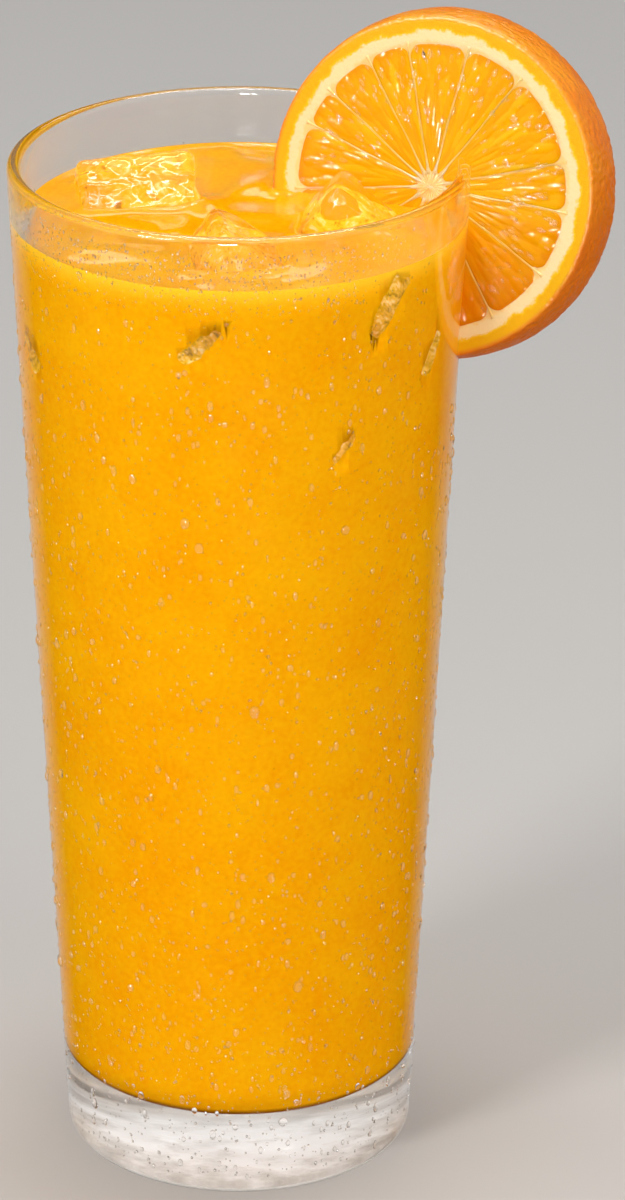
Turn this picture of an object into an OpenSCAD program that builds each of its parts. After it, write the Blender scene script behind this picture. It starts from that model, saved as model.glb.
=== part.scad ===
// Tall tapered tumbler of orange juice with ice cubes and a thick orange slice on its rim.
// Millimetres, +Z up. The origin is on the glass's axis, on the surface it stands on.
// +X points to the slice, -Y is the side that its front cut face is turned to.

/* [Glass] */
// Outer diameter of the rim
rim_d = 80; // [66:1:96]
// Outer diameter that the straight wall would reach at the table
foot_d = 62.2; // [52:0.2:75]
// Height of the glass
glass_h = 186; // [155:1:224]
// Thickness of the wall at the rim
rim_t = 2.4; // [1.6:0.1:3.6]
// Thickness of the wall where it meets the floor
low_wall_t = 3.2; // [2:0.1:4.5]
// Thickness of the solid base
base_t = 15; // [10:0.5:22]
// Radius of the rounded heel round the foot
heel_r = 3; // [1.5:0.5:5]
// Radius of the corner between the inner wall and the floor
floor_corner_r = 6; // [2:0.5:9]
// Depth of the shallow hollow under the base
hollow_depth = 1.4; // [0.5:0.1:3]
// Width of the flat ring that the glass stands on
stand_ring_w = 3.5; // [2:0.5:6]

/* [Juice] */
// Distance from the top of the rim down to the juice
headroom = 10.7; // [8:0.1:30]
// Height that the juice climbs where it meets the glass
climb_h = 0.9; // [0.2:0.1:1.5]
// Width of that climbing edge
climb_w = 2.2; // [1:0.1:4]
// Clearance between the juice and what it touches
juice_gap = 0.1; // [0.05:0.05:0.3]

/* [Ice] */
// Radius of the melted edges of the ice
ice_edge_r = 1.8; // [1:0.1:3]
// How far the corners of an ice cube stray from a true block
ice_stray = 0.7; // [0:0.1:1.2]
// Clearance between an ice cube and the glass, the slice and the other cubes
ice_gap = 0.3; // [0.2:0.1:1]
// Size of the left cube
left_size = [21.5, 15.2, 15.1]; // [10:0.1:24]
// Turn of the left cube about X, Y and Z, in degrees
left_turn = [29, -2, 8]; // [-45:1:45]
// Place of the left cube, as an angle round the glass
left_angle = 146; // [120:1:170]
// How far the left cube keeps from the wall, past its own reach
left_inset = 2.1; // [0:0.1:6]
// Depth of the left cube's middle under the juice
left_depth = 2.5; // [0:0.1:7]
// Size of the right cube
right_size = [20.6, 12.6, 20.6]; // [10:0.1:24]
// Turn of the right cube about X, Y and Z, in degrees
right_turn = [-5, 36, -8]; // [-45:1:45]
// Place of the right cube, as an angle round the glass
right_angle = -15.4; // [-40:0.1:0]
// How far the right cube keeps from the wall, past its own reach
right_inset = 5.2; // [0:0.1:8]
// Depth of the right cube's middle under the juice
right_depth = 4.3; // [0:0.1:8]
// Size of the front cube
front_size = [18.6, 15.6, 18.6]; // [10:0.1:24]
// Turn of the front cube about X, Y and Z, in degrees
front_turn = [0, 33, 8]; // [-45:1:45]
// Place of the front cube, as an angle round the glass
front_angle = 266; // [230:1:300]
// How far the front cube keeps from the wall, past its own reach
front_inset = 4.4; // [0:0.1:8]
// Depth of the front cube's middle under the juice
front_depth = 4.4; // [0:0.1:8]

/* [Orange slice] */
// Diameter of the whole orange
orange_d = 61; // [52:1:73]
// Thickness of the slice
slice_t = 9.9; // [7:0.1:12]
// Distance from the middle of the orange to the front cut face
slice_offset = 8.3; // [4:0.1:10]
// Thickness of the peel with its white pith
peel_t = 4.7; // [3:0.1:6]
// Thickness of the skin between two segments
skin_t = 0.7; // [0.4:0.1:1.5]
// Radius of the white core
core_r = 2.6; // [1.5:0.1:4]
// Depth of the flesh below the skins on a cut face
flesh_depth = 0.3; // [0.1:0.1:1]
// Angle that the slice is turned about the upright, in degrees
slice_turn = 22.6; // [0:0.1:30]
// Angle that the slice leans back, in degrees
slice_lean = 14.1; // [0:0.1:20]
// Place of the slit on the rim, as an angle round the glass
slit_angle = 2.2; // [-10:0.1:10]
// Distance from the middle of the slice out to the slit
slit_side = 6.8; // [2:0.1:12]
// Height of the slit's end above the middle of the slice
slit_rise = 6.1; // [0:0.1:12]
// Clearance of the slit to the wall of the glass
slit_gap = 0.3; // [0.1:0.1:1]

/* [Hidden] */

arc_steps = 8;
around_fn = 128;
ice_fn = 20;

rim_r = rim_d / 2;
foot_r = foot_d / 2;
juice_z = glass_h - headroom;

LEFT = 0;
RIGHT = 1;
FRONT = 2;
// Each cube of ice: its size, its turn, its angle round the glass, its inset and its depth.
ICE = [
    [left_size, left_turn, left_angle, left_inset, left_depth],
    [right_size, right_turn, right_angle, right_inset, right_depth],
    [front_size, front_turn, front_angle, front_inset, front_depth]
];

// Angles of the skins between the segments, anticlockwise from the slit's side.
SKIN_ANGLES = [17, 55, 80, 106, 124, 145, 161, 188, 218, 248, 276, 303, 330, 357];

function outer_r(z) = foot_r + (rim_r - foot_r) * z / glass_h;
function wall_t(z) = low_wall_t + (rim_t - low_wall_t) * (z - base_t) / (glass_h - base_t);
function inner_r(z) = outer_r(z) - wall_t(z);

// Points on an arc about [x, y], from one angle to another.
function arc(x, y, r, from, to) =
    [for (i = [0 : arc_steps]) let (a = from + (to - from) * i / arc_steps) [x + r * cos(a), y + r * sin(a)]];

// The rim's half round, grown by a clearance.
function rim_arc(gap) = arc(rim_r - rim_t / 2, glass_h - rim_t / 2, rim_t / 2 + gap, 0, 180);

// The corner inside the glass, where the wall turns into the floor.
corner_z = base_t + floor_corner_r;
function corner_arc(gap) =
    arc(inner_r(corner_z) - floor_corner_r, corner_z, floor_corner_r - gap, 0, -90);

// The hollow under the base, a shallow dome inside the ring that the glass stands on.
hollow_r = outer_r(heel_r) - heel_r - stand_ring_w;
dome_r = (pow(hollow_r, 2) + pow(hollow_depth, 2)) / (2 * hollow_depth);
dome_half = asin(hollow_r / dome_r);
function dome_arc() = arc(0, hollow_depth - dome_r, dome_r, 90, 90 - dome_half);

module glass() {
    heel_x = outer_r(heel_r) - heel_r;
    color("lightcyan", 0.35)
        rotate_extrude($fn = around_fn)
            polygon(concat(
                dome_arc(),
                arc(heel_x, heel_r, heel_r, -90, 0),
                rim_arc(0),
                corner_arc(0),
                [[0, base_t]]
            ));
}

// What the glass holds when it is filled to the juice's level, with the climbing edge at the wall.
module filling() {
    edge_r = inner_r(juice_z + climb_h) - juice_gap;
    rotate_extrude($fn = around_fn)
        polygon(concat(
            [[0, base_t + juice_gap], [0, juice_z]],
            [for (i = [0 : arc_steps])
                let (s = i / arc_steps) [edge_r - climb_w * (1 - s), juice_z + climb_h * s * s]],
            corner_arc(juice_gap)
        ));
}

module juice() {
    color("orange")
        difference() {
            filling();
            for (k = [LEFT, RIGHT, FRONT])
                ice_block(k, juice_gap);
            placed_slice() slice_body(juice_gap);
        }
}

// A block of ice with melted edges and slightly strayed corners, grown by a clearance.
module ice_block(k, gap) {
    size = ICE[k][0];
    angle = ICE[k][2];
    reach = norm([size[0], size[1]]) / 2;
    out = inner_r(juice_z) - ice_gap - reach - ICE[k][3];
    translate([out * cos(angle), out * sin(angle), juice_z - ICE[k][4]])
        rotate(ICE[k][1])
            hull()
                for (corner = [0 : 7])
                    translate(ice_corner(size, corner, k))
                        sphere(r = ice_edge_r + gap, $fn = ice_fn);
}

// The middle of a block's rounded corner, from 0 to 7, strayed inwards by its own small amount.
function ice_corner(size, corner, k) =
    let (side = [corner % 2, floor(corner / 2) % 2, floor(corner / 4)])
    [for (axis = [0 : 2])
        let (stray = ice_stray * pow(sin(k * 140 + corner * 83 + axis * 61), 2))
        (2 * side[axis] - 1) * (size[axis] / 2 - ice_edge_r - stray)];

// A cube of ice, with the others melted to its side where they touch.
module ice(k) {
    color("aliceblue", 0.5)
        difference() {
            ice_block(k, 0);
            if (k != RIGHT)
                ice_block(RIGHT, ice_gap);
            placed_slice() slice_body(ice_gap);
        }
}

// Moves a slice whose front face is centred on the origin to its place on the rim.
module placed_slice() {
    rotate([0, 0, slit_angle])
        translate([rim_r, 0, glass_h])
            rotate([-slice_lean, 0, -slice_turn - slit_angle])
                translate([-slit_side, 0, -slit_rise])
                    children();
}

// A round of a ball-shaped orange between two cuts, facing -Y, grown by a clearance.
module slice_body(gap) {
    intersection() {
        translate([0, slice_offset, 0])
            sphere(r = orange_d / 2 + gap, $fn = around_fn);
        translate([-orange_d, -gap, -orange_d])
            cube([2 * orange_d, slice_t + 2 * gap, 2 * orange_d]);
    }
}

// Outline of one segment of flesh between the skins at two angles.
function segment_points(from, to, r) =
    let (
        half = (to - from) / 2,
        round_r = min(2.5, r * sin(half) / 3),
        tip_r = max(core_r, skin_t / 2 / sin(half)),
        swing = asin((skin_t / 2 + round_r) / (r - round_r))
    )
    concat(
        [tip_r * [cos(from + half), sin(from + half)]],
        arc_about(r - round_r, from + swing, round_r, from - 90, from + swing),
        arc_about(r - round_r, to - swing, round_r, to - swing, to + 90)
    );

// Points on a small arc whose centre lies at a radius and an angle.
function arc_about(r, angle, small_r, from, to) =
    arc(r * cos(angle), r * sin(angle), small_r, from, to);

// The pockets of flesh on a cut face, as deep as they lie below the skins.
module flesh_pockets(face_r) {
    count = len(SKIN_ANGLES);
    for (i = [0 : count - 1]) {
        from = SKIN_ANGLES[i];
        to = SKIN_ANGLES[(i + 1) % count] + (i + 1 < count ? 0 : 360);
        rotate([90, 0, 0])
            linear_extrude(height = 2 * flesh_depth, center = true)
                polygon(segment_points(from, to, face_r - peel_t));
    }
}

function face_r(offset) = sqrt(pow(orange_d / 2, 2) - pow(offset, 2));

module orange_slice() {
    color("darkorange")
        difference() {
            placed_slice()
                difference() {
                    slice_body(0);
                    flesh_pockets(face_r(slice_offset));
                    translate([0, slice_t, 0])
                        flesh_pockets(face_r(slice_t - slice_offset));
                }
            slit();
        }
}

// The space that the wall of the glass takes in the slice, open at the bottom.
module slit() {
    low_z = glass_h - orange_d;
    rotate_extrude($fn = around_fn)
        polygon(concat(
            [[outer_r(low_z) + slit_gap, low_z]],
            rim_arc(slit_gap),
            [[inner_r(low_z) - slit_gap, low_z]]
        ));
}

glass();
juice();
ice(LEFT);  // ice_left
ice(RIGHT);  // ice_right
ice(FRONT);  // ice_front
orange_slice();
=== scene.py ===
"""Looks of a tall glass of orange juice with ice and a slice of orange on its rim.

Every piece is in metres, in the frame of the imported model, and takes its place from it.
"""
import math

import bpy
import numpy as np
from mathutils import Euler, Matrix, Vector
from mathutils.bvhtree import BVHTree
from mathutils.kdtree import KDTree


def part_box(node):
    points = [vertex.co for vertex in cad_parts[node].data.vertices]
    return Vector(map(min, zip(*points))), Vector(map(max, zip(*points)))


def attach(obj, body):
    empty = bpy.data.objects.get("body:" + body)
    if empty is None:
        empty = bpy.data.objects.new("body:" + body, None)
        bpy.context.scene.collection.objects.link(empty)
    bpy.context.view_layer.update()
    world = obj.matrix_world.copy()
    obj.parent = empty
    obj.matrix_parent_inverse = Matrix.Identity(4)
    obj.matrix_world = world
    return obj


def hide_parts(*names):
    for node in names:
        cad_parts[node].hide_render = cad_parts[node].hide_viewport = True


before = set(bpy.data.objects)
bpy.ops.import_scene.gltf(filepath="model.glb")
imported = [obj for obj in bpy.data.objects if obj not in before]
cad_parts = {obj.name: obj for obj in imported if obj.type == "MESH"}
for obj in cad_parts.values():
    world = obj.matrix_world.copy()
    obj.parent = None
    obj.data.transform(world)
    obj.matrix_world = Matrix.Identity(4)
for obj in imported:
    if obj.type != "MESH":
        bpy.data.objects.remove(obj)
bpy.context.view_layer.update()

MM = 0.001

# ---------------------------------------------------------------- sizes

GLASS_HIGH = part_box("glass")[1]
JUICE_LOW, JUICE_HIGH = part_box("juice")
GLASS_H = GLASS_HIGH.z
RIM_R = GLASS_HIGH.x
FOOT_R = 31.1 * MM
LEAN = (RIM_R - FOOT_R) / GLASS_H
RIM_T = 2.4 * MM
LOW_WALL_T = 3.2 * MM
HEEL_R = 3 * MM
FLOOR_CORNER_R = 6 * MM
HOLLOW_DEPTH = 1.4 * MM
STAND_RING_W = 3.5 * MM
JUICE_GAP = 0.1 * MM
FLOOR_Z = JUICE_LOW.z - JUICE_GAP
CLIMB_H = 0.9 * MM
CLIMB_W = 2.2 * MM
JUICE_Z = JUICE_HIGH.z - CLIMB_H
INTO_WALL = 0.2 * MM
ICE_INTO_JUICE = 0.15 * MM

ORANGE_R = 30.5 * MM
SLICE_T = 9.9 * MM
SLICE_OFFSET = 8.3 * MM
PEEL_T = 4.7 * MM
SLICE_TURN = math.radians(22.6)
SLICE_LEAN = math.radians(14.1)
SLIT_ANGLE = math.radians(2.2)
SLIT_SIDE = 6.8 * MM
SLIT_RISE = 6.1 * MM
SLIT_GAP = 0.3 * MM
FACE_R = math.sqrt(ORANGE_R**2 - SLICE_OFFSET**2)
FLESH_R = FACE_R - PEEL_T
SKIN_ANGLES = [17, 55, 80, 106, 124, 145, 161, 188, 218, 248, 276, 303, 330, 357]

ICE_NODES = ("ice_left", "ice_right", "ice_front")
ICE_GRAIN = 0.42 * MM

# a drop is a dome over a shallow seat, both as shares of its radius
DOME_H = 0.62
SEAT_SHARE = 0.15

PORES = 1500
PORE_R = 0.34 * MM
PORE_DEPTH = 0.16 * MM
SAC_L = 5.5 * MM
SACS_AROUND = 84
SACS_IN_RING = 52
CORE_R = 3 * MM

# drops keep off the wall under the slice: half its width as an angle, and how far down it reaches
SHELTER_ANGLE = 0.6
SHELTER_H = 42 * MM

# radius of the small discs that close a turned shape at its axis
AXIS_R = 0.5 * MM
TURN_STEPS = 192


def outer_r(z):
    """Radius of the glass's outer wall at a height."""
    return FOOT_R + LEAN * z


def inner_r(z):
    """Radius of the glass's inner wall at a height."""
    share = (z - FLOOR_Z) / (GLASS_H - FLOOR_Z)
    return outer_r(z) - LOW_WALL_T - (RIM_T - LOW_WALL_T) * share


# ---------------------------------------------------------------- ways of making


def take(piece):
    """Makes a piece the only selected and the active one."""
    bpy.ops.object.select_all(action="DESELECT")
    piece.select_set(True)
    bpy.context.view_layer.objects.active = piece


def arc(x, z, r, start, end, steps):
    """Points on an arc about (x, z), between two angles in degrees."""
    angles = np.radians(np.linspace(start, end, steps + 1))
    return [(x + r * math.cos(a), z + r * math.sin(a)) for a in angles]


def line(start, end, steps):
    """Points along a straight line, without its first one."""
    return [tuple(p) for p in np.linspace(start, end, steps + 1)[1:]]


def turn(name, profile, around=TURN_STEPS):
    """A lathe-turned closed shell: a disc is drawn out and resized ring by ring along the profile."""
    bpy.ops.object.select_all(action="DESELECT")
    (radius, height), rest = profile[0], profile[1:]
    bpy.ops.mesh.primitive_circle_add(
        vertices=around, radius=radius, fill_type="NGON", location=(0, 0, height)
    )
    piece = bpy.context.object
    piece.name = name
    bpy.ops.object.transform_apply(location=True)
    bpy.ops.object.mode_set(mode="EDIT")
    bpy.ops.mesh.select_all(action="SELECT")
    for next_radius, next_height in rest:
        bpy.ops.mesh.extrude_region_move(
            TRANSFORM_OT_translate={"value": (0, 0, next_height - height)}
        )
        grow = next_radius / radius
        bpy.ops.transform.resize(value=(grow, grow, 1), center_override=(0, 0, next_height))
        radius, height = next_radius, next_height
    bpy.ops.mesh.select_all(action="SELECT")
    bpy.ops.mesh.normals_make_consistent(inside=False)
    bpy.ops.object.mode_set(mode="OBJECT")
    return piece


def apply_modifier(piece, kind, **settings):
    """Adds a modifier, sets it up and applies it."""
    take(piece)
    modifier = piece.modifiers.new(kind.title(), kind)
    for key, value in settings.items():
        setattr(modifier, key, value)
    bpy.ops.object.modifier_apply(modifier=modifier.name)


def points_of(piece):
    """The piece's vertices as an array."""
    flat = np.empty(len(piece.data.vertices) * 3)
    piece.data.vertices.foreach_get("co", flat)
    return flat.reshape(-1, 3)


def move_points(piece, points):
    """Gives the piece's vertices new places."""
    piece.data.vertices.foreach_set("co", np.asarray(points, float).ravel())
    piece.data.update()


def copy_of(piece, name):
    """A copy with its own mesh."""
    take(piece)
    bpy.ops.object.duplicate()
    twin = bpy.context.object
    twin.name = name
    return twin


def add_attribute(piece, name, values):
    """Writes one number on each of the piece's vertices, for its finish to read."""
    attribute = piece.data.attributes.new(name, "FLOAT", "POINT")
    attribute.data.foreach_set("value", np.asarray(values, np.float32))


def join(pieces, name):
    """Joins pieces into one."""
    take(pieces[0])
    for piece in pieces:
        piece.select_set(True)
    bpy.ops.object.join()
    whole = bpy.context.object
    whole.name = name
    return whole


def cut_away(piece, cutter, keep_cutter=False):
    """Cuts one closed shell out of another."""
    apply_modifier(piece, "BOOLEAN", operation="DIFFERENCE", object=cutter, solver="MANIFOLD")
    if not keep_cutter:
        bpy.data.objects.remove(cutter)


def copies(name, model, places, turns):
    """Many copies of one small closed shape, each moved and turned in its own way, as one piece."""
    shape = points_of(model)
    corners = np.array([list(face.vertices) for face in model.data.polygons])
    points = np.einsum("nij,kj->nki", turns, shape) + places[:, None, :]
    faces = corners[None] + len(shape) * np.arange(len(places))[:, None, None]
    mesh = bpy.data.meshes.new(name)
    mesh.from_pydata(points.reshape(-1, 3).tolist(), [], faces.reshape(-1, corners.shape[1]).tolist())
    piece = bpy.data.objects.new(name, mesh)
    bpy.context.scene.collection.objects.link(piece)
    bpy.data.objects.remove(model)
    return piece


def bead(fineness):
    """A drop of unit radius on the XY plane: a dome above it and a shallow seat below."""
    bpy.ops.object.select_all(action="DESELECT")
    bpy.ops.mesh.primitive_ico_sphere_add(subdivisions=fineness, radius=1)
    model = bpy.context.object
    bpy.ops.object.mode_set(mode="EDIT")
    bpy.ops.mesh.select_all(action="SELECT")
    bpy.ops.transform.resize(value=(1, 1, DOME_H))
    bpy.ops.object.mode_set(mode="OBJECT")
    points = points_of(model)
    points[points[:, 2] < 0, 2] *= SEAT_SHARE
    move_points(model, points)
    return model


def wear(piece, name, size, strength, middle):
    """Presses soft dents of one size into a piece."""
    texture = bpy.data.textures.new(f"{piece.name}_{name}", "CLOUDS")
    texture.noise_scale = size
    texture.noise_depth = 1
    apply_modifier(piece, "DISPLACE", texture=texture, strength=strength, mid_level=middle)


def open_slots(piece, count):
    """Empty places for a piece's finishes, to be filled when it is handed over."""
    for number in range(count):
        piece.data.materials.append(None)


def hand_over(piece, materials, node=None):
    """Gives a piece its materials and hangs it on the root body; the imported part that it replaces, if
    named, is hidden.
    """
    take(piece)
    bpy.ops.object.transform_apply(location=True, rotation=True, scale=True)
    bpy.ops.object.shade_smooth()
    if not piece.data.materials:
        open_slots(piece, len(materials))
    for index, material in enumerate(materials):
        piece.data.materials[index] = material
    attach(piece, "root")
    if node:
        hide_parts(node)


# ---------------------------------------------------------------- finishes


# the colour sockets of a Mix node
MIX_A, MIX_B, MIX_OUT = 6, 7, 2


class Wiring:
    """Helpers that wire patterns together in a tree of nodes."""

    def __init__(self, tree, coords):
        self.nodes, self.links = tree.nodes, tree.links
        self.coords = self.nodes.new("ShaderNodeTexCoord").outputs[coords]

    def join(self, output, node, name):
        self.links.new(output, node.inputs[name])

    def node(self, kind, **sockets):
        """A new node, each of its sockets joined to an output or set to a value."""
        node = self.nodes.new(f"ShaderNode{kind}")
        for key, value in sockets.items():
            name = key.replace("_", " ")
            if isinstance(value, bpy.types.NodeSocket):
                self.join(value, node, name)
            else:
                node.inputs[name].default_value = value
        return node

    def placed(self, place):
        """Object coordinates seen from a place: a matrix from the piece's own axes to the frame."""
        shift, turned = place.to_translation(), place.to_euler()
        node = self.node("Mapping", Vector=self.coords, Location=shift, Rotation=turned)
        node.vector_type = "TEXTURE"
        return node.outputs["Vector"]

    def noise(self, scale, detail=2.0, rough=0.5):
        node = self.node("TexNoise", Vector=self.coords, Scale=scale, Detail=detail, Roughness=rough)
        return node.outputs["Fac"]

    def pits(self, scale):
        """How far a point lies from the nearest of many scattered seeds."""
        return self.node("TexVoronoi", Vector=self.coords, Scale=scale).outputs["Distance"]

    def attribute(self, name):
        node = self.node("Attribute")
        node.attribute_name = name
        return node.outputs["Fac"]

    def ramp(self, value, stops):
        """Colours along a value, from (value, colour) stops."""
        node = self.node("ValToRGB", Fac=value)
        elements = node.color_ramp.elements
        while len(elements) < len(stops):
            elements.new(0.5)
        for element, (place, colour) in zip(elements, stops):
            element.position = place
            element.color = opaque(colour)
        return node.outputs["Color"]

    def math(self, kind, a, b=None):
        node = self.nodes.new("ShaderNodeMath")
        node.operation = kind
        for index, value in enumerate((a, b)):
            if value is None:
                continue
            if isinstance(value, (int, float)):
                node.inputs[index].default_value = value
            else:
                self.links.new(value, node.inputs[index])
        return node.outputs[0]

    def mix(self, share, a, b):
        """From colour a to colour b."""
        node = self.nodes.new("ShaderNodeMix")
        node.data_type = "RGBA"
        self.links.new(share, node.inputs[0])
        for socket, value in ((node.inputs[MIX_A], a), (node.inputs[MIX_B], b)):
            if isinstance(value, tuple):
                socket.default_value = opaque(value)
            else:
                self.links.new(value, socket)
        return node.outputs[MIX_OUT]

    def axes(self, vector=None):
        return self.node("SeparateXYZ", Vector=vector or self.coords).outputs

    def reach(self, *names, vector=None):
        """How far a point lies from the middle, along the named axes."""
        axes = self.axes(vector)
        squares = [self.math("POWER", axes[name], 2.0) for name in names]
        return self.math("SQRT", self.math("ADD", *squares))

    def height(self):
        return self.axes()["Z"]

    def share(self, value, start, end, low=0.0, high=1.0):
        """A value's way from start to end, as low to high."""
        node = self.node(
            "MapRange", Value=value, From_Min=start, From_Max=end, To_Min=low, To_Max=high
        )
        return node.outputs["Result"]


class Finish(Wiring):
    """A material with one Principled shader, and the patterns wired into it."""

    def __init__(self, name, **sockets):
        self.material = bpy.data.materials.new(name)
        self.material.use_nodes = True
        super().__init__(self.material.node_tree, "Object")
        self.shader = self.nodes["Principled BSDF"]
        for key, value in sockets.items():
            self.shader.inputs[key.replace("_", " ")].default_value = value

    def colour(self, output):
        self.join(output, self.shader, "Base Color")

    def bump(self, height, strength, distance):
        node = self.node("Bump", Height=height, Strength=strength, Distance=distance)
        self.join(node.outputs["Normal"], self.shader, "Normal")

    def let_light_through(self):
        """Lets light fall straight through a clear piece on to what lies behind it."""
        path = self.node("LightPath")
        clear = self.node("BsdfTransparent")
        blend = self.node("MixShader")
        share = self.math("MAXIMUM", path.outputs["Is Shadow Ray"], path.outputs["Is Diffuse Ray"])
        self.links.new(share, blend.inputs["Fac"])
        self.links.new(self.shader.outputs["BSDF"], blend.inputs[1])
        self.links.new(clear.outputs["BSDF"], blend.inputs[2])
        self.links.new(blend.outputs["Shader"], self.nodes["Material Output"].inputs["Surface"])


def srgb(red, green, blue):
    """A display colour, 0 to 255, as linear light."""
    return tuple(
        c / 12.92 if c <= 0.04045 else ((c + 0.055) / 1.055) ** 2.4
        for c in (red / 255, green / 255, blue / 255)
    )


def opaque(colour):
    return (*colour, 1)


def clear_glass():
    """Clear inside, misted outside where the cold juice stands behind it."""
    finish = Finish(
        "clear_glass", Base_Color=opaque((0.955, 0.96, 0.955)), IOR=1.5, Transmission_Weight=1.0
    )
    height = finish.height()
    wall = finish.math("ADD", finish.math("MULTIPLY", height, LEAN), FOOT_R - 0.5 * MM)
    outside = finish.math("GREATER_THAN", finish.reach("X", "Y"), wall)
    cold = finish.share(height, GLASS_H - 2.5 * MM, GLASS_H - 7 * MM)
    patches = finish.share(finish.noise(90, detail=4), 0.3, 0.7, 0.04, 0.2)
    full = finish.share(height, FLOOR_Z - 2 * MM, FLOOR_Z + 2 * MM, 0.1, 1.0)
    cold = finish.math("MULTIPLY", cold, full)
    mist = finish.math("MULTIPLY", finish.math("MULTIPLY", outside, cold), patches)
    finish.join(mist, finish.shader, "Roughness")
    finish.let_light_through()
    return finish.material


def foot_painted_glow():
    """The pressed underside of the glass, roughened, with a painted glow, brightest in the middle and
    stippled, for the light that the table throws up into it.
    """
    finish = Finish(
        "foot_painted_glow",
        Base_Color=opaque((0.95, 0.95, 0.945)),
        Roughness=0.25,
        IOR=1.5,
        Transmission_Weight=0.35,
        Emission_Strength=1.0,
    )
    # painted glow: brighter towards the middle of the foot, broken by a stipple
    painted_glow_middle = finish.share(finish.reach("X", "Y"), 29 * MM, 12 * MM)
    stipple = finish.share(finish.noise(170, detail=4, rough=0.65), 0.3, 0.7, -0.4, 0.3)
    painted_glow = finish.math("ADD", painted_glow_middle, stipple)
    dark, grey, light = (0.03, 0.028, 0.02), (0.24, 0.23, 0.21), (0.62, 0.61, 0.60)
    colour = finish.ramp(painted_glow, [(0.0, dark), (0.4, grey), (1.0, light)])
    finish.join(colour, finish.shader, "Emission Color")
    finish.bump(finish.noise(500, detail=2), 0.3, 0.3 * MM)
    finish.let_light_through()
    return finish.material


def water():
    finish = Finish(
        "water",
        Base_Color=opaque((1, 1, 1)),
        Roughness=0.0,
        IOR=1.33,
        Specular_IOR_Level=1.0,
        Coat_Weight=1.0,
        Transmission_Weight=1.0,
    )
    finish.let_light_through()
    return finish.material


def melting_ice():
    finish = Finish(
        "melting_ice",
        Base_Color=opaque((0.985, 0.985, 0.985)),
        Roughness=0.02,
        IOR=1.31,
        Transmission_Weight=1.0,
    )
    finish.bump(finish.noise(300, detail=3), 0.14, 0.4 * MM)
    finish.let_light_through()
    return finish.material


JUICE_LIGHT = srgb(251, 180, 8)
JUICE_DEEP = srgb(245, 158, 2)
JUICE_PAINTED_LIGHT = srgb(255, 196, 44)
JUICE_PAINTED_SHADE = srgb(120, 60, 0)
JUICE_PAINTED_GLOW = srgb(252, 164, 4)


def juice_finish(name, painted_light_edge=0.0, **sockets):
    """Cloudy juice: pulp flecks in it, a painted light band along its level for light entering from the top,
    painted shade in its bottom corner, and a faint painted glow for light scattered through its depth.
    """
    finish = Finish(
        name,
        Subsurface_Weight=0.3,
        Subsurface_Radius=(1.0, 0.5, 0.1),
        Subsurface_Scale=2.5 * MM,
        Emission_Color=opaque(JUICE_PAINTED_GLOW),
        **sockets,
    )
    cloud = finish.noise(55, detail=4, rough=0.6)
    fleck = finish.noise(1100, detail=1)
    share = finish.math(
        "ADD", finish.math("MULTIPLY", cloud, 0.8), finish.math("MULTIPLY", fleck, 0.5)
    )
    body = finish.ramp(share, [(0.42, JUICE_DEEP), (0.84, JUICE_LIGHT)])
    height = finish.height()
    # painted light: a paler band just under the level, for light entering from the top
    pale = finish.share(height, JUICE_Z - 3.5 * MM, JUICE_Z)
    body = finish.mix(finish.math("MULTIPLY", finish.math("POWER", pale, 2.0), painted_light_edge), body, JUICE_PAINTED_LIGHT)
    # painted shade: a dark band in the juice's bottom corner
    corner = finish.share(height, FLOOR_Z + 1.9 * MM, FLOOR_Z + 0.9 * MM)
    finish.colour(finish.mix(corner, body, JUICE_PAINTED_SHADE))
    return finish


def juice_in_glass():
    """Juice where it wets the glass, with no shine of its own and a faint painted glow."""
    return juice_finish(
        "juice_in_glass", 0.8, Roughness=0.6, Specular_IOR_Level=0.0, Emission_Strength=0.08
    ).material


def juice_top():
    # Emission_Strength here is a faint painted glow
    return juice_finish("juice_top", Roughness=0.06, IOR=1.35, Emission_Strength=0.06).material


def juice_round_ice_painted_glow(name, grain, stops, painted_glow):
    """Juice where it wets the ice, with a painted glow for the light that wanders through the juice, and dark
    and pale grains of painted shade and painted glints.
    """
    finish = Finish(
        name,
        Roughness=0.6,
        Specular_IOR_Level=0.0,
        Emission_Color=opaque(srgb(255, 188, 24)),
        Emission_Strength=painted_glow,
    )
    # painted shade and painted glints: dark and pale grains in the juice's colour
    finish.colour(finish.ramp(finish.noise(grain, detail=4, rough=0.75), stops))
    return finish.material


def juice_round_cubes_painted_glow():
    return juice_round_ice_painted_glow("juice_round_cubes_painted_glow", 480, [
        (0.35, srgb(170, 116, 10)),
        (0.43, srgb(240, 192, 38)),
        (0.55, srgb(250, 206, 58)),
        (0.63, srgb(255, 238, 180)),
    ], 0.19)


def juice_round_lumps_painted_glow():
    """Round the sunk lumps: deeper painted shade between pale painted glint grains."""
    return juice_round_ice_painted_glow("juice_round_lumps_painted_glow", 850, [
        (0.37, srgb(110, 86, 10)),
        (0.46, srgb(206, 162, 24)),
        (0.55, srgb(244, 200, 54)),
        (0.61, srgb(255, 238, 190)),
    ], 0.2)


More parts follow.
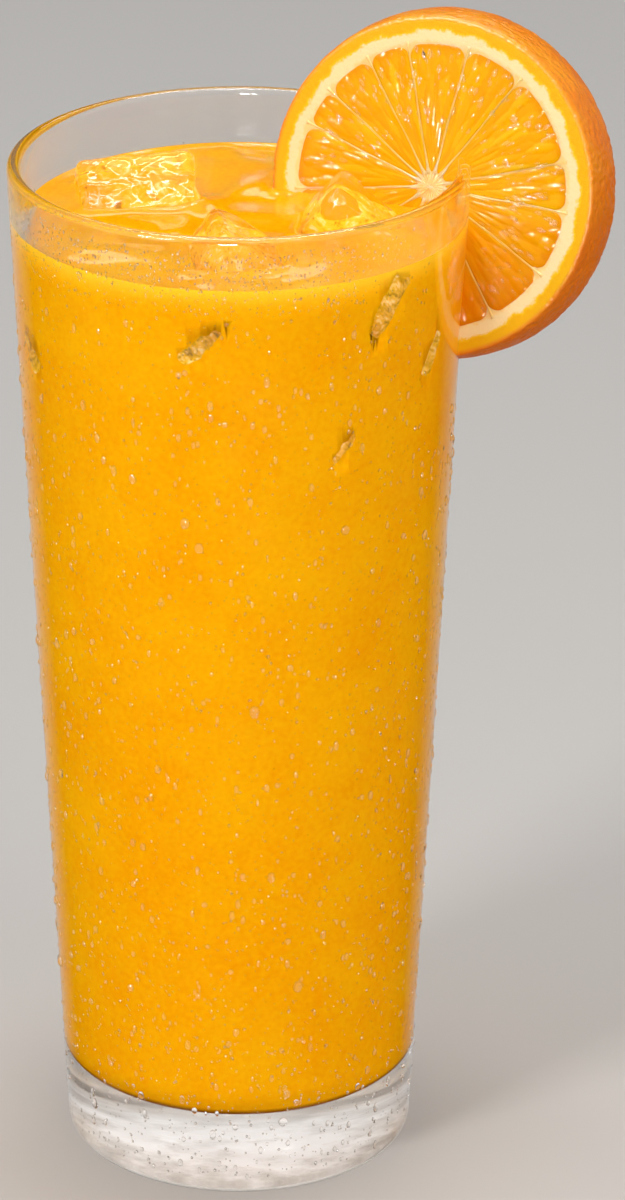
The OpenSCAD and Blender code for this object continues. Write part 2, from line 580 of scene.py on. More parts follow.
def orange_flesh():
    finish = Finish(
        "orange_flesh",
        Roughness=0.06,
        IOR=1.36,
        Subsurface_Weight=0.4,
        Subsurface_Radius=(1.0, 0.45, 0.08),
        Subsurface_Scale=2 * MM,
    )
    sac = finish.attribute("sac")
    flesh = finish.ramp(sac, [(0.0, srgb(238, 164, 4)), (0.6, srgb(242, 172, 6)), (1.0, srgb(247, 184, 16))])
    flesh = finish.mix(finish.attribute("near_peel"), flesh, srgb(236, 144, 2))
    # painted shade: the flesh turns darker below the rim
    painted_shade_low = finish.share(finish.height(), GLASS_H - 4 * MM, GLASS_H - 24 * MM, 0.0, 0.7)
    finish.colour(finish.mix(painted_shade_low, flesh, srgb(216, 114, 2)))
    finish.bump(finish.noise(900, detail=2), 0.12, 0.15 * MM)
    return finish.material


def skin_and_core():
    finish = Finish(
        "skin_and_core",
        Roughness=0.3,
        Subsurface_Weight=0.4,
        Subsurface_Radius=(1.0, 0.6, 0.25),
        Subsurface_Scale=1.5 * MM,
    )
    fibre = finish.share(finish.noise(800, detail=3), 0.3, 0.7)
    thin = finish.mix(fibre, srgb(250, 178, 26), srgb(252, 192, 60))
    thick = finish.mix(fibre, srgb(250, 200, 116), srgb(253, 222, 160))
    finish.colour(finish.mix(finish.attribute("near_end"), thin, thick))
    return finish.material


def peel(place):
    """Rind, the yellow zest just under it, and cream pith with a ragged edge."""
    finish = Finish(
        "peel",
        Roughness=0.34,
        Subsurface_Weight=0.15,
        Subsurface_Radius=(1.0, 0.5, 0.2),
        Subsurface_Scale=1.2 * MM,
    )
    local = finish.placed(place)
    across = finish.reach("X", "Z", vector=local)
    ragged = finish.math("MULTIPLY", finish.noise(330, detail=4, rough=0.65), 3.4 * MM)
    share = finish.share(
        finish.math("ADD", across, ragged), FLESH_R + 1.7 * MM, FACE_R + 2.2 * MM
    )
    pith, cream, pale = srgb(243, 218, 164), srgb(244, 208, 136), srgb(240, 192, 14)
    zest, edge = srgb(235, 176, 0), srgb(240, 150, 2)
    cut = finish.ramp(share, [
        (0.0, cream), (0.1, pith), (0.37, pith), (0.45, pale), (0.54, zest), (0.84, zest), (1.0, edge),
    ])
    # the rind lighter orange near the front cut and deeper towards the back
    behind = finish.share(finish.axes(local)["Y"], 0.5 * MM, 7 * MM)
    mottle = finish.share(finish.noise(160, detail=4), 0.35, 0.65)
    rind_near_cut = finish.mix(mottle, srgb(247, 142, 2), srgb(252, 164, 10))
    deep = finish.mix(mottle, srgb(240, 126, 0), srgb(250, 148, 8))
    # painted shade: the rind darker lower down, lighter towards the top
    painted_shade_low = finish.share(finish.height(), GLASS_H + 20 * MM, GLASS_H - 14 * MM, 0.0, 0.8)
    rind = finish.mix(painted_shade_low, finish.mix(behind, rind_near_cut, deep), srgb(222, 106, 2))
    on_rind = finish.attribute("rind")
    finish.colour(finish.mix(on_rind, cut, rind))
    pits = finish.math("MULTIPLY", finish.share(finish.pits(720), 0.0, 0.5), on_rind)
    grain = finish.math("MULTIPLY", finish.noise(1300, detail=2), 0.4)
    finish.bump(finish.math("ADD", grain, pits), 0.7, 0.22 * MM)
    shine = finish.math("ADD", finish.math("MULTIPLY", on_rind, 0.3), 0.1)
    finish.join(shine, finish.shader, "Specular IOR Level")
    return finish.material


# ---------------------------------------------------------------- glass


def glass_profile():
    heel_x = outer_r(HEEL_R) - HEEL_R
    hollow_r = heel_x - STAND_RING_W
    dome_r = (hollow_r**2 + HOLLOW_DEPTH**2) / (2 * HOLLOW_DEPTH)
    dome_half = math.degrees(math.asin(hollow_r / dome_r))
    corner_z = FLOOR_Z + FLOOR_CORNER_R
    profile = arc(0, HOLLOW_DEPTH - dome_r, dome_r, 89.0, 90 - dome_half, 12)
    profile += arc(heel_x, HEEL_R, HEEL_R, -90, 0, 10)
    rim = arc(RIM_R - RIM_T / 2, GLASS_H - RIM_T / 2, RIM_T / 2, 0, 180, 14)
    profile += line(profile[-1], rim[0], 24) + rim[1:]
    corner = arc(inner_r(corner_z) - FLOOR_CORNER_R, corner_z, FLOOR_CORNER_R, 0, -90, 12)
    profile += line(rim[-1], corner[0], 24) + corner[1:]
    profile += line(corner[-1], (AXIS_R, FLOOR_Z), 8)
    return profile


def make_glass():
    piece = turn("tumbler", glass_profile())
    open_slots(piece, 2)
    for face in piece.data.polygons:
        under = face.normal.z < -0.5 and face.center.z < HOLLOW_DEPTH + 0.5 * MM
        face.material_index = 1 if under else 0
    hand_over(piece, [clear_glass(), foot_painted_glow()], "glass")
    piece.visible_shadow = False


# ---------------------------------------------------------------- ice


def melt(block, smooth, dent_depth, wave_size, wave_depth):
    """Remeshes a block fine and wears it into the uneven faces of melting ice."""
    apply_modifier(block, "REMESH", mode="VOXEL", voxel_size=ICE_GRAIN)
    apply_modifier(block, "SMOOTH", factor=0.5, iterations=smooth)
    wear(block, "dents", 8 * MM, dent_depth, 0.55)
    wear(block, "waves", wave_size, wave_depth, 0.5)
    return block


def make_ice(node):
    """A melting cube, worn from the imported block."""
    piece = copy_of(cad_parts[node], f"{node}_cube")
    piece.data.materials.clear()
    bpy.ops.object.mode_set(mode="EDIT")
    bpy.ops.mesh.select_all(action="SELECT")
    bpy.ops.mesh.remove_doubles(threshold=0.01 * MM)
    bpy.ops.object.mode_set(mode="OBJECT")
    return melt(piece, 2, 1.9 * MM, 2.6 * MM, 0.34 * MM)


# sunk lumps that touch the wall: angle round the glass, height, size and turn in millimetres and degrees
SUNK_ICE = [
    (-99.4, 167.0, (3.6, 3.6, 12.0), (-44, -6, 4)),
    (-50, 169.0, (5.0, 4.6, 15.0), (-36, 10, -8)),
    (-61, 145.9, (2.6, 2.6, 7.0), (-44, 8, 6)),
    (-30, 158.0, (5.0, 3.4, 9.0), (-30, 10, 20)),
    (40, 158.0, (6.0, 4.0, 10.0), (40, -12, 12)),
    (95, 163.0, (6.0, 4.4, 12.0), (-36, 12, 16)),
    (150, 160.0, (5.0, 4.0, 11.0), (34, -10, 10)),
    (200, 156.0, (5.0, 4.0, 8.0), (44, 16, -18)),
]


def sunk_lump(number, degrees, height, size, tilt):
    """One melting lump, a little way through the wall's inner face."""
    bpy.ops.object.select_all(action="DESELECT")
    bpy.ops.mesh.primitive_cube_add(size=1)
    lump = bpy.context.object
    lump.name = f"sunk_lump_{number}"
    bpy.ops.object.mode_set(mode="EDIT")
    bpy.ops.mesh.select_all(action="SELECT")
    bpy.ops.transform.resize(value=[length * MM for length in size])
    bpy.ops.object.mode_set(mode="OBJECT")
    apply_modifier(lump, "BEVEL", width=1.1 * MM, segments=3, limit_method="NONE")
    lump.data.transform(Matrix.LocRotScale(None, Euler([math.radians(d) for d in tilt]), None))
    melt(lump, 3, 2.2 * MM, 1.6 * MM, 0.9 * MM)
    out = inner_r(height * MM) - 0.25 * size[0] * MM
    lump.data.transform(Matrix.Translation((out, 0, height * MM)))
    lump.data.transform(Matrix.Rotation(math.radians(degrees), 4, "Z"))
    return lump


def hollow_for(ice):
    """What is cut out of the juice for a piece of ice: a hair smaller, so that the two meet wet."""
    hollow = copy_of(ice, "hollow")
    apply_modifier(hollow, "DISPLACE", strength=-ICE_INTO_JUICE, mid_level=0.0)
    return hollow


def make_sunk_ice():
    """Lumps of ice under the level, pushed against the wall, and the hollows that they leave in the juice."""
    lumps = [sunk_lump(number, *lump) for number, lump in enumerate(SUNK_ICE)]
    hollows = [hollow_for(lump) for lump in lumps]
    sunk = join(lumps, "sunk_ice")
    into_wall = 0.5 * INTO_WALL
    top_z = JUICE_Z - 0.6 * MM
    inside = turn("inside_of_glass", [
        (AXIS_R, FLOOR_Z),
        (inner_r(FLOOR_Z) + into_wall, FLOOR_Z),
        (inner_r(JUICE_Z) + into_wall, top_z),
        (AXIS_R, top_z),
    ])
    apply_modifier(sunk, "BOOLEAN", operation="INTERSECT", object=inside, solver="MANIFOLD")
    bpy.data.objects.remove(inside)
    return sunk, join(hollows, "hollows")


# ---------------------------------------------------------------- juice


def juice_profile():
    corner_z = FLOOR_Z + FLOOR_CORNER_R
    reach = INTO_WALL
    corner = arc(
        inner_r(corner_z) - FLOOR_CORNER_R, corner_z, FLOOR_CORNER_R + reach, -90, 0, 12
    )
    profile = [(AXIS_R, FLOOR_Z - reach)] + line((AXIS_R, FLOOR_Z - reach), corner[0], 6)
    profile += corner[1:]
    top_z = JUICE_Z + CLIMB_H
    top_r = inner_r(top_z) + reach
    profile += line(profile[-1], (top_r, top_z), 30)
    wall_r = inner_r(top_z)
    for share in np.linspace(1, 0, 9):
        profile.append((wall_r - CLIMB_W * (1 - share), JUICE_Z + CLIMB_H * share**2))
    profile += line(profile[-1], (AXIS_R, JUICE_Z), 56)
    return profile


# ridges pushed up between the ice, the slice and the wall: from, to, half width and height, in millimetres
RIDGES = [
    ((-7.0, 4.0), (6.0, 22.0), 2.5, 0.42),
    ((-11.0, -7.0), (-5.0, 9.0), 2.3, 0.36),
    ((-1.0, 33.0), (7.0, 25.0), 3.0, 0.40),
    ((-36.0, 12.0), (-29.0, 27.0), 3.0, 0.55),
    ((-12.0, 35.5), (-3.0, 36.0), 2.6, 1.5),
    ((-27.0, -17.0), (-15.0, -20.0), 3.2, 0.5),
    ((8.0, -29.0), (17.0, -19.0), 2.2, 0.40),
    ((-6.0, -32.0), (4.0, -33.0), 2.2, 0.34),
]


def ripples(x, y):
    """Height of the juice's surface over its level: slow swirls and a few ridges."""
    u, v = x / MM, y / MM
    height = 0.15 * np.sin(0.21 * u + 0.34 * v + 0.8 * np.sin(0.12 * v))
    height += 0.09 * np.sin(0.47 * v - 0.13 * u + 1.3 * np.sin(0.16 * u + 1))
    for (x0, y0), (x1, y1), wide, high in RIDGES:
        run_x, run_y = x1 - x0, y1 - y0
        share = np.clip(((u - x0) * run_x + (v - y0) * run_y) / (run_x**2 + run_y**2), 0, 1)
        apart = np.hypot(u - x0 - share * run_x, v - y0 - share * run_y)
        height += high * np.exp(-((apart / wide) ** 2))
    return height * MM


def make_juice(islands):
    """The juice up to its level, climbing a little at the wall, the ice and the slice."""
    piece = turn("juice_body", juice_profile(), 256)
    points = points_of(piece)
    radius = np.hypot(points[:, 0], points[:, 1])
    top = (points[:, 2] > JUICE_Z - 0.01 * MM) & (radius < inner_r(JUICE_Z + CLIMB_H) + 0.05 * MM)
    wall_gap = np.clip(inner_r(JUICE_Z) - radius, 0, None)
    calm = np.clip(wall_gap / (5 * MM), 0, 1)
    trees = [BVHTree.FromObject(i, bpy.context.evaluated_depsgraph_get()) for i in islands]
    lift = ripples(points[:, 0], points[:, 1]) * calm
    for index in np.flatnonzero(top):
        near = min(tree.find_nearest(points[index])[3] for tree in trees)
        lift[index] += CLIMB_H * math.exp(-2 * near / CLIMB_W)
    points[:, 2] += np.where(top, lift, 0)
    move_points(piece, points)
    open_slots(piece, 4)
    for face in piece.data.polygons:
        is_top = face.normal.z > 0.3 and face.center.z > JUICE_Z - 3 * MM
        face.material_index = 1 if is_top else 0
    return piece


def sink_ice(juice, cubes, hollows):
    """Cuts the juice where ice lies in it, with one finish round the cubes and one round the lumps."""
    for cut in [hollow_for(cube) for cube in cubes] + [hollows]:
        open_slots(cut, 4)
        slot = 3 if cut is hollows else 2
        cut.data.polygons.foreach_set("material_index", [slot] * len(cut.data.polygons))
        cut_away(juice, cut)


# ---------------------------------------------------------------- orange slice


def slice_place():
    """From the slice's own axes, front face centred on the origin and facing -Y, to its place."""
    rim = Matrix.Rotation(SLIT_ANGLE, 4, "Z") @ Matrix.Translation((RIM_R, 0, GLASS_H))
    turned = Matrix.Rotation(-SLICE_TURN - SLIT_ANGLE, 4, "Z") @ Matrix.Rotation(-SLICE_LEAN, 4, "X")
    return rim @ turned @ Matrix.Translation((-SLIT_SIDE, 0, -SLIT_RISE))


def slit_cutter():
    """The band that the glass's wall takes in the slice."""
    low_z = GLASS_H - 2 * ORANGE_R
    rim = arc(RIM_R - RIM_T / 2, GLASS_H - RIM_T / 2, RIM_T / 2 + SLIT_GAP, 0, 180, 14)
    bpy.ops.object.select_all(action="DESELECT")
    outline = [(outer_r(low_z) + SLIT_GAP, low_z)] + rim + [(inner_r(low_z) - SLIT_GAP, low_z)]
    bpy.ops.mesh.primitive_circle_add(vertices=len(outline), radius=RIM_R, fill_type="NGON")
    cutter = bpy.context.object
    cutter.name = "slit"
    move_points(cutter, [(x, 0, z) for x, z in outline])
    take(cutter)
    bpy.ops.object.mode_set(mode="EDIT")
    bpy.ops.mesh.select_all(action="SELECT")
    bpy.ops.mesh.spin(
        steps=32, angle=math.radians(70), center=(0, 0, 0), axis=(0, 0, 1), use_normal_flip=False
    )
    bpy.ops.mesh.select_all(action="SELECT")
    bpy.ops.mesh.normals_make_consistent(inside=False)
    bpy.ops.object.mode_set(mode="OBJECT")
    cutter.data.transform(Matrix.Rotation(math.radians(-35), 4, "Z"))
    return cutter


def peel_section():
    """The peel cut through its middle: (radius, depth) from the front cut round the rind to the back one."""
    edge = 0.8 * MM
    inside = 18 * MM
    recess = 0.25 * MM
    back_y = SLICE_T
    back_r = math.sqrt(ORANGE_R**2 - (SLICE_T - SLICE_OFFSET) ** 2)
    start = math.degrees(math.asin(-SLICE_OFFSET / ORANGE_R))
    end = math.degrees(math.asin((SLICE_T - SLICE_OFFSET) / ORANGE_R))
    span = math.degrees(edge / ORANGE_R)
    section = [(AXIS_R, recess), (inside, recess)]
    section += line(section[-1], (FLESH_R - 1 * MM, recess), 3)
    section += line(section[-1], (FLESH_R + 0.6 * MM, 0.0), 4)
    section += line(section[-1], (FACE_R - edge, 0.0), 14)
    section += [(FACE_R - 0.3 * edge, 0.12 * edge), (FACE_R + 0.1 * edge, 0.45 * edge)]
    section += arc(0, SLICE_OFFSET, ORANGE_R, start + span, end - span, 34)
    section += [(back_r - 0.05 * edge, back_y - 0.4 * edge), (back_r - 0.35 * edge, back_y - 0.1 * edge)]
    section += line((back_r - edge, back_y), (FLESH_R + 1.6 * MM, back_y), 14)
    section += line(section[-1], (FLESH_R, back_y - recess), 3)
    section += [(inside, back_y - recess), (AXIS_R, back_y - recess)]
    return section


def pore_depth(points, skin, rng):
    """How deep each point of the rind lies in a pore."""
    pores = KDTree(PORES)
    for number in range(PORES):
        turned = rng.uniform(0, 2 * math.pi)
        deep = rng.uniform(-SLICE_OFFSET, SLICE_T - SLICE_OFFSET)
        ring = math.sqrt(ORANGE_R**2 - deep**2)
        pores.insert((ring * math.cos(turned), SLICE_OFFSET + deep, ring * math.sin(turned)), number)
    pores.balance()
    depth = np.zeros(len(points))
    for index in np.flatnonzero(skin > 0):
        apart = pores.find(points[index])[2]
        depth[index] = math.exp(-((apart / PORE_R) ** 2)) * PORE_DEPTH
    return depth


def make_peel(place, cutter, rng):
    """The ring of pith and rind between the two cuts, with the rind's pores sunk into it."""
    piece = turn("slice_peel", peel_section(), 560)
    piece.data.transform(Matrix.Rotation(math.radians(-90), 4, "X"))
    points = points_of(piece)
    out = points - np.array([0, SLICE_OFFSET, 0])
    reach = np.linalg.norm(out, axis=1)
    skin = np.clip((reach - ORANGE_R + 0.5 * MM) / (0.4 * MM), 0, 1)
    add_attribute(piece, "rind", skin)
    waves = np.sin(out[:, 1] * 900 + 3 * np.sin(out[:, 0] * 300)) * np.sin(out[:, 2] * 700)
    sunk = pore_depth(points, skin, rng) + 0.05 * MM * waves - 0.03 * MM
    points -= out / reach[:, None] * (sunk * skin)[:, None]
    move_points(piece, points)
    piece.data.transform(place)
    cut_away(piece, cutter, keep_cutter=True)
    return piece


class Sacs:
    """The juice sacs of the flesh: long drops that point at the core."""

    def __init__(self, rng):
        rings = np.arange(1.5 * MM, FLESH_R + 3 * MM, SAC_L * 0.5)
        self.seeds = KDTree(len(rings) * SACS_IN_RING)
        self.places, self.traits = [], []
        for ring in rings:
            shift = rng.uniform(0, 2 * math.pi)
            for step in range(SACS_IN_RING):
                angle = shift + 2 * math.pi * (step + rng.uniform(-0.35, 0.35)) / SACS_IN_RING
                out = ring + rng.uniform(-0.3, 0.3) * SAC_L
                self.seeds.insert(self.spread(out, angle), len(self.places))
                self.places.append((out, angle))
                self.traits.append(rng.uniform(-1, 1, 4))
        self.seeds.balance()

    @staticmethod
    def spread(out, angle):
        """A place in a space where a long sac is as wide as it is long."""
        wide = SACS_AROUND / (2 * math.pi)
        return (wide * math.cos(angle), wide * math.sin(angle), out / SAC_L)

    def relief(self, radius, angle):
        """Height of the cut sacs at each place, and each one's shade."""
        near = [self.seeds.find_n(self.spread(r, a), 2) for r, a in zip(radius, angle)]
        own = np.array([pair[0][1] for pair in near])
        first = np.array([pair[0][2] for pair in near])
        second = np.array([pair[1][2] for pair in near])
        out, turned = np.array(self.places)[own].T
        traits = np.array(self.traits)[own]
        aside = np.angle(np.exp(1j * (angle - turned))) * SACS_AROUND / (2 * math.pi)
        swell = np.clip(traits[:, 0] + 0.35, 0, 1) * np.clip(1 - (first / 0.62) ** 2, 0, 1)
        seam = np.exp(-((second - first) / 0.16))
        lean = traits[:, 1] * aside + 0.6 * traits[:, 2] * (radius - out) / SAC_L
        height = (0.20 * swell - 0.05 * seam + 0.09 * lean) * MM
        return height, traits[:, 3] * 0.5 + 0.5


def make_segment(first, last, number):
    """One segment of flesh between two skins: a grid bent to a wedge with round corners."""
    across, along = max(16, int((last - first) * 1.5)), 84
    bpy.ops.object.select_all(action="DESELECT")
    bpy.ops.mesh.primitive_grid_add(x_subdivisions=across, y_subdivisions=along, size=2)
    piece = bpy.context.object
    piece.name = f"segment_{number}"
    unit = points_of(piece)
    middle = math.radians((first + last) / 2)
    half = math.radians((last - first) / 2)
    skin_half = 0.1 * MM
    tip_bend = 1.2 * MM
    tip_r = max(2.6 * MM, 1.5 * skin_half / math.sin(half))
    bend_r = min(2.4 * MM, FLESH_R * math.sin(half) * 0.5)
    out = tip_r + (FLESH_R - tip_r) * np.sin((unit[:, 1] + 1) * math.pi / 4)
    half_w = out * half - skin_half
    past = np.clip((out - (FLESH_R - bend_r)) / bend_r, 0, 1)
    half_w -= bend_r * (1 - np.sqrt(1 - past**2))
    before = np.clip((tip_r + tip_bend - out) / tip_bend, 0, 1)
    half_w *= np.sqrt(1 - before**2) * 0.98 + 0.02
    half_w = np.maximum(half_w, 0.02 * MM)
    angle = middle + unit[:, 0] * half_w / out
    edge = np.minimum((1 - np.abs(unit[:, 0])) * half_w, np.minimum(FLESH_R - out, (out - tip_r) * 1.5))
    move_points(piece, np.stack([out * np.cos(angle), 0 * out, out * np.sin(angle)], 1))
    return piece, out, angle, np.maximum(edge, 0)


def make_flesh(place, cutter, rng):
    """All the segments as one piece, full between their skins and grained with juice sacs."""
    sacs = Sacs(rng)
    segments = []
    for number, first in enumerate(SKIN_ANGLES):
        last = SKIN_ANGLES[(number + 1) % len(SKIN_ANGLES)]
        last += 360 if last < first else 0
        piece, out, angle, edge = make_segment(first, last, number)
        relief, shade = sacs.relief(out, angle)
        full = 1 - np.exp(-edge / (0.4 * MM))
        calm = np.clip((out - 4 * MM) / (10 * MM), 0.2, 1)
        lift = (0.10 * MM + relief * calm) * full - 0.12 * MM
        front = points_of(piece)
        front[:, 1] = -lift
        move_points(piece, front)
        add_attribute(piece, "sac", shade)
        add_attribute(piece, "near_peel", np.clip((out - FLESH_R + 2.4 * MM) / (2.4 * MM), 0, 1) ** 2)
        deepen(piece)
        segments.append(piece)
    whole = join(segments, "slice_flesh")
    whole.data.transform(place)
    cut_away(whole, cutter, keep_cutter=True)
    return whole


def deepen(piece):
    """Draws a front sheet back to the other cut, which mirrors its relief."""
    take(piece)
    bpy.ops.object.mode_set(mode="EDIT")
    bpy.ops.mesh.select_all(action="SELECT")
    bpy.ops.mesh.extrude_region_move(TRANSFORM_OT_translate={"value": (0, SLICE_T, 0)})
    bpy.ops.mesh.select_all(action="SELECT")
    bpy.ops.mesh.normals_make_consistent(inside=False)
    bpy.ops.object.mode_set(mode="OBJECT")
    points = points_of(piece)
    back = points[:, 1] > SLICE_T / 2
    points[back, 1] = 2 * SLICE_T - points[back, 1]
    move_points(piece, points)


def make_skins(place, cutter, rng):
    """The thin skins between the segments, and the white core that they meet in."""
    fins = []
    start_r, end_r = 2.2 * MM, FLESH_R + 0.6 * MM
    for number, degrees in enumerate(SKIN_ANGLES):
        bpy.ops.object.select_all(action="DESELECT")
        bpy.ops.mesh.primitive_cube_add(size=1)
        fin = bpy.context.object
        fin.name = f"skin_{number}"
        for edge in fin.data.edges:
            start, end = (fin.data.vertices[v].co for v in edge.vertices)
            edge.select = abs(start.x - end.x) > 0.5
        for face in fin.data.polygons:
            face.select = False
        bpy.ops.object.mode_set(mode="EDIT")
        bpy.ops.mesh.select_mode(type="EDGE")
        bpy.ops.mesh.subdivide(number_cuts=40)
        bpy.ops.object.mode_set(mode="OBJECT")
        unit = points_of(fin)
        share = unit[:, 0] + 0.5
        out = start_r + (end_r - start_r) * share
        ends = np.exp(-share * 9) + np.exp(-(1 - share) * 12)
        thick = (0.2 + 0.5 * np.exp(-(1 - share) * 26) + 0.35 * np.exp(-share * 9)) * MM
        phase = rng.uniform(0, 6.28)
        sway = 0.16 * MM * np.sin(share * 9 + phase) * np.sin(share * math.pi)
        dip = (0.05 - 0.16 * np.minimum(ends, 1)) * MM
        depth = np.where(unit[:, 1] < 0, dip, SLICE_T - dip)
        side = sway + unit[:, 2] * thick
        angle = math.radians(degrees)
        place_x = out * math.cos(angle) - side * math.sin(angle)
        place_z = out * math.sin(angle) + side * math.cos(angle)
        move_points(fin, np.stack([place_x, depth, place_z], 1))
        add_attribute(fin, "near_end", np.clip(0.1 + ends, 0, 1))
        fins.append(fin)
    whole = join(fins + [make_core(rng)], "slice_skins")
    whole.data.transform(place)
    cut_away(whole, cutter, keep_cutter=True)
    return whole


def make_core(rng):
    """The star-shaped white core, drawn out along each skin."""
    axis_r = 0.4 * MM
    profile = [(axis_r, 0.0)] + line((axis_r, 0.0), (CORE_R, 0.0), 14)
    profile += [(CORE_R, SLICE_T), (axis_r, SLICE_T)]
    core = turn("core", profile, 256)
    core.data.transform(Matrix.Rotation(math.radians(-90), 4, "X"))
    points = points_of(core)
    angle = np.arctan2(points[:, 2], points[:, 0])
    out = np.hypot(points[:, 0], points[:, 2]) / CORE_R
    reach = np.full(len(points), 2.3 * MM)
    for degrees in SKIN_ANGLES:
        apart = np.angle(np.exp(1j * (angle - math.radians(degrees))))
        reach += rng.uniform(1.6, 2.6) * MM * np.exp(-((apart / 0.11) ** 2))
    front = points[:, 1] < SLICE_T / 2
    dome = (0.25 * (1 - out**2) - 0.1) * MM + 0.12 * MM * np.sin(angle * 23) * out * (1 - out) * 4
    points[:, 0] = np.cos(angle) * out * reach
    points[:, 2] = np.sin(angle) * out * reach
    points[:, 1] += np.where(front, -dome, dome)
    move_points(core, points)
    add_attribute(core, "near_end", np.ones(len(points)))
    return core


def make_flesh_beads(place, rng):
    """Beads of juice on both cut faces, drawn out towards the core."""
    count = 900
    out = FLESH_R * np.sqrt(rng.uniform(0.2, 0.95, count))
    angle = rng.uniform(0, 2 * math.pi, count)
    front = rng.uniform(0, 1, count) < 0.6
    length = rng.uniform(0.28, 0.9, count) * MM
    wide = length * rng.uniform(0.28, 0.6, count)
    along = np.stack([np.cos(angle), 0 * angle, np.sin(angle)], 1)
    facing = np.where(front[:, None], [[0, -1, 0]], [[0, 1, 0]])
    aside = np.cross(facing, along)
    places = along * out[:, None]
    places[:, 1] = np.where(front, -0.02 * MM, SLICE_T + 0.02 * MM)
    turns = np.stack([along * length[:, None], aside * wide[:, None], facing * wide[:, None]], 2)
    to_frame = np.array(place)
    places = places @ to_frame[:3, :3].T + to_frame[:3, 3]
    turns = np.einsum("ij,njk->nik", to_frame[:3, :3], turns)
    radius = np.hypot(places[:, 0], places[:, 1])
    sunk = (places[:, 2] < JUICE_Z + 2.5 * MM) & (radius < RIM_R)
    at_wall = (np.abs(radius - RIM_R + RIM_T) < 4 * MM) & (places[:, 2] < GLASS_H + 1.5 * MM)
    free = ~(sunk | at_wall)
    return copies("flesh_beads", bead(2), places[free], turns[free])


def build_slice(cutter):
    rng = np.random.default_rng(7)
    place = slice_place()
    ring = make_peel(place, cutter, rng)
    flesh = make_flesh(place, cutter, rng)
    skins = make_skins(place, cutter, rng)
    beads = make_flesh_beads(place, rng)
    hand_over(ring, [peel(place)], "orange_slice")
    hand_over(flesh, [orange_flesh()])
    hand_over(skins, [skin_and_core()])
    hand_over(beads, [WATER])
    beads.visible_shadow = False
    return [ring, flesh]


# ---------------------------------------------------------------- condensation


def wall_drops(name, rng, fineness, count, heights, sizes, tall, wall=outer_r, side=1, span=(0, 360)):
    """Drops strewn over a span of a wall of the glass, with none behind the slice."""
    angle = np.radians(rng.uniform(*span, count))
    height = rng.uniform(*heights, count) * MM
    smallest, largest = sizes
    size = MM * smallest * (largest / smallest) ** (rng.uniform(0, 1, count) ** 2)
    facing = side * np.stack([np.cos(angle), np.sin(angle), 0 * angle - LEAN], 1) / math.hypot(1, LEAN)
    aside = np.stack([-np.sin(angle), np.cos(angle), 0 * angle], 1)
    upward = np.cross(facing, aside)
    stretch = 1 + tall * rng.uniform(0, 1, count)
    turns = np.stack(
        [aside * size[:, None], upward * (size * stretch)[:, None], facing * size[:, None]], 2
    )
    radius = wall(height) - side * 0.01 * MM
    places = np.stack([radius * np.cos(angle), radius * np.sin(angle), height], 1)
    beside_slice = np.abs(np.angle(np.exp(1j * angle))) < SHELTER_ANGLE
    free = ~(beside_slice & (height > GLASS_H - SHELTER_H))
    return copies(name, bead(fineness), places[free], turns[free])


def make_condensation():
    rng = np.random.default_rng(11)
    mist = wall_drops("fine_drops", rng, 1, 9000, (4, 176), (0.1, 0.32), 0.5)
    drops = wall_drops("drops", rng, 2, 2300, (4, 170), (0.24, 0.62), 0.9)
    large = wall_drops("large_drops", rng, 2, 120, (4, 150), (0.55, 0.95), 0.5)
    haze = wall_drops("haze_drops", rng, 1, 1400, (172, 183), (0.08, 0.26), 0.6, span=(165, 300))
    film = wall_drops(
        "inner_film_drops", rng, 1, 600, (177.0, 183), (0.08, 0.24), 0.4, inner_r, -1, (180, 345)
    )
    for piece in (mist, drops, large, haze, film):
        hand_over(piece, [WATER])
        piece.visible_shadow = False


# ---------------------------------------------------------------- stage


def make_floor():
    bpy.ops.object.select_all(action="DESELECT")
    bpy.ops.mesh.primitive_plane_add(size=8)
    floor = bpy.context.object
    floor.name = "floor"
    finish = Finish("pale_floor", Base_Color=opaque(srgb(192, 190, 188)), Roughness=0.9)
    floor.data.materials.append(finish.material)
    floor.visible_glossy = False


def make_world():
    """An even grey room, darker through clear pieces.

    Mirrored, it is dark but for its ceiling, its sides and a low strip ahead.
    """
    world = bpy.data.worlds.new("studio")
    bpy.context.scene.world = world
    world.use_nodes = True
    room = Wiring(world.node_tree, "Generated")
    ray = room.node("LightPath").outputs
    towards = room.axes()
    low = room.share(towards["Z"], 0.05, -0.15)
    low_ahead = room.math("MULTIPLY", room.share(towards["Y"], 0.62, 0.9, high=0.5), low)
    ceiling = room.share(towards["Z"], 0.5, 0.8, high=0.6)
    left = room.share(towards["X"], -0.35, -0.75, high=0.4)
    right = room.share(towards["X"], 0.35, 0.75, high=0.4)
    over_floor = room.share(towards["Z"], -0.1, 0.05)
    sides = room.math("MULTIPLY", room.math("ADD", left, right), over_floor)
    shown = room.math("ADD", room.math("ADD", low_ahead, ceiling), sides)
    mirrored = room.mix(ray["Is Glossy Ray"], (0.5, 0.495, 0.49), shown)
    seen = room.mix(ray["Is Transmission Ray"], mirrored, (0.16, 0.155, 0.15))
    room.join(seen, room.nodes["Background"], "Color")


def panel(name, place, aim, size, power, colour=(1, 1, 1), lights=True, shines=True):
    """A flat light. It can be kept from lighting the pieces, or from shining back out of them."""
    light = bpy.data.lights.new(name, "AREA")
    light.shape = "RECTANGLE"
    light.size, light.size_y = size
    light.energy = power
    light.color = colour
    lamp = bpy.data.objects.new(name, light)
    lamp.location = place
    lamp.rotation_euler = (Vector(aim) - Vector(place)).to_track_quat("-Z", "Y").to_euler()
    lamp.visible_diffuse = lights
    lamp.visible_glossy = shines
    bpy.context.scene.collection.objects.link(lamp)


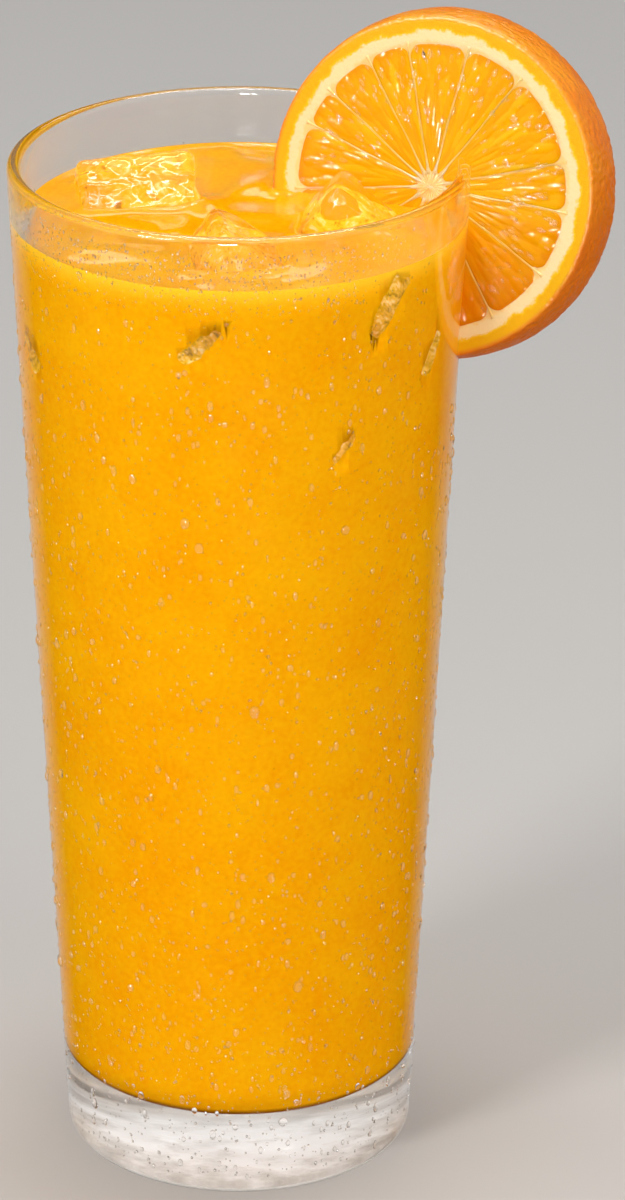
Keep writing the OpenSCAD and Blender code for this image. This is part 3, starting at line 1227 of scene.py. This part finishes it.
def make_lights():
    """Soft lights with no shine of their own, and cards that only shine."""
    glass, ice = (0, 0, 0.1), (0, 0, 0.17)
    warm, cool = (1, 0.93, 0.82), (1, 1, 0.96)
    square, strip = (0.8, 0.8), (0.05, 0.6)
    panel("key", (-0.75, -0.75, 0.95), glass, (0.26, 0.26), 6.2, (1, 0.98, 0.95), shines=False)
    panel("left_fill", (-1.2, -0.5, 0.5), glass, square, 3.0, cool, shines=False)
    panel("right_fill", (0.7, -1.2, 0.6), glass, square, 7.8, warm, shines=False)
    panel("top", (0.1, 0.1, 1.2), glass, (0.3, 0.3), 3.6, shines=False)
    panel("glint_card", (-0.75, -0.75, 0.95), glass, (0.32, 0.32), 30.0, lights=False)
    panel("back_card", (0.1, 1.3, 1.23), ice, (0.9, 0.3), 2.4, lights=False)
    panel("top_card", (0.05, 0.15, 1.15), ice, (0.5, 0.5), 1.2, lights=False)
    panel("front_glint", (-0.12, -1.35, 0.36), ice, (0.22, 0.22), 14.0, lights=False)
    panel("left_strip", (-0.12, 0.1, 1.14), ice, strip, 2.6, lights=False)
    panel("right_strip", (0.16, 0.1, 1.14), ice, strip, 2.6, lights=False)
    panel("far_strip", (0.0, 0.42, 1.12), ice, (0.7, 0.05), 3.0, lights=False)


def make_camera():
    scene = bpy.context.scene
    lens = bpy.data.cameras.new("camera")
    lens.sensor_width = 36
    lens.lens = 184.5
    lens.shift_x, lens.shift_y = 0.0613, 0.0450
    lens.clip_start, lens.clip_end = 0.05, 20
    camera = bpy.data.objects.new("camera", lens)
    camera.location = (0, -1.0, 0.53878)
    camera.rotation_euler = (math.radians(65.972), 0, 0)
    scene.collection.objects.link(camera)
    scene.camera = camera
    scene.view_settings.view_transform = "Standard"
    scene.cycles.caustics_refractive = False
    scene.cycles.caustics_reflective = False
    scene.cycles.max_bounces = 16
    scene.cycles.transmission_bounces = 16
    scene.cycles.glossy_bounces = 12


# ---------------------------------------------------------------- the whole

make_floor()
make_world()
make_lights()
make_camera()
WATER = water()
make_glass()
slit = slit_cutter()
slice_pieces = build_slice(slit)
cubes = [make_ice(node) for node in ICE_NODES]
sunk_ice, hollows = make_sunk_ice()
juice = make_juice(cubes + slice_pieces)
sink_ice(juice, cubes, hollows)
juice_finishes = [juice_in_glass(), juice_top(), juice_round_cubes_painted_glow(), juice_round_lumps_painted_glow()]
hand_over(juice, juice_finishes, "juice")
ice_finish = melting_ice()
for cube, node in zip(cubes, ICE_NODES):
    hand_over(cube, [ice_finish], node)
    cube.visible_shadow = False
hand_over(sunk_ice, [ice_finish])
sunk_ice.visible_shadow = False
make_condensation()
bpy.data.objects.remove(slit)
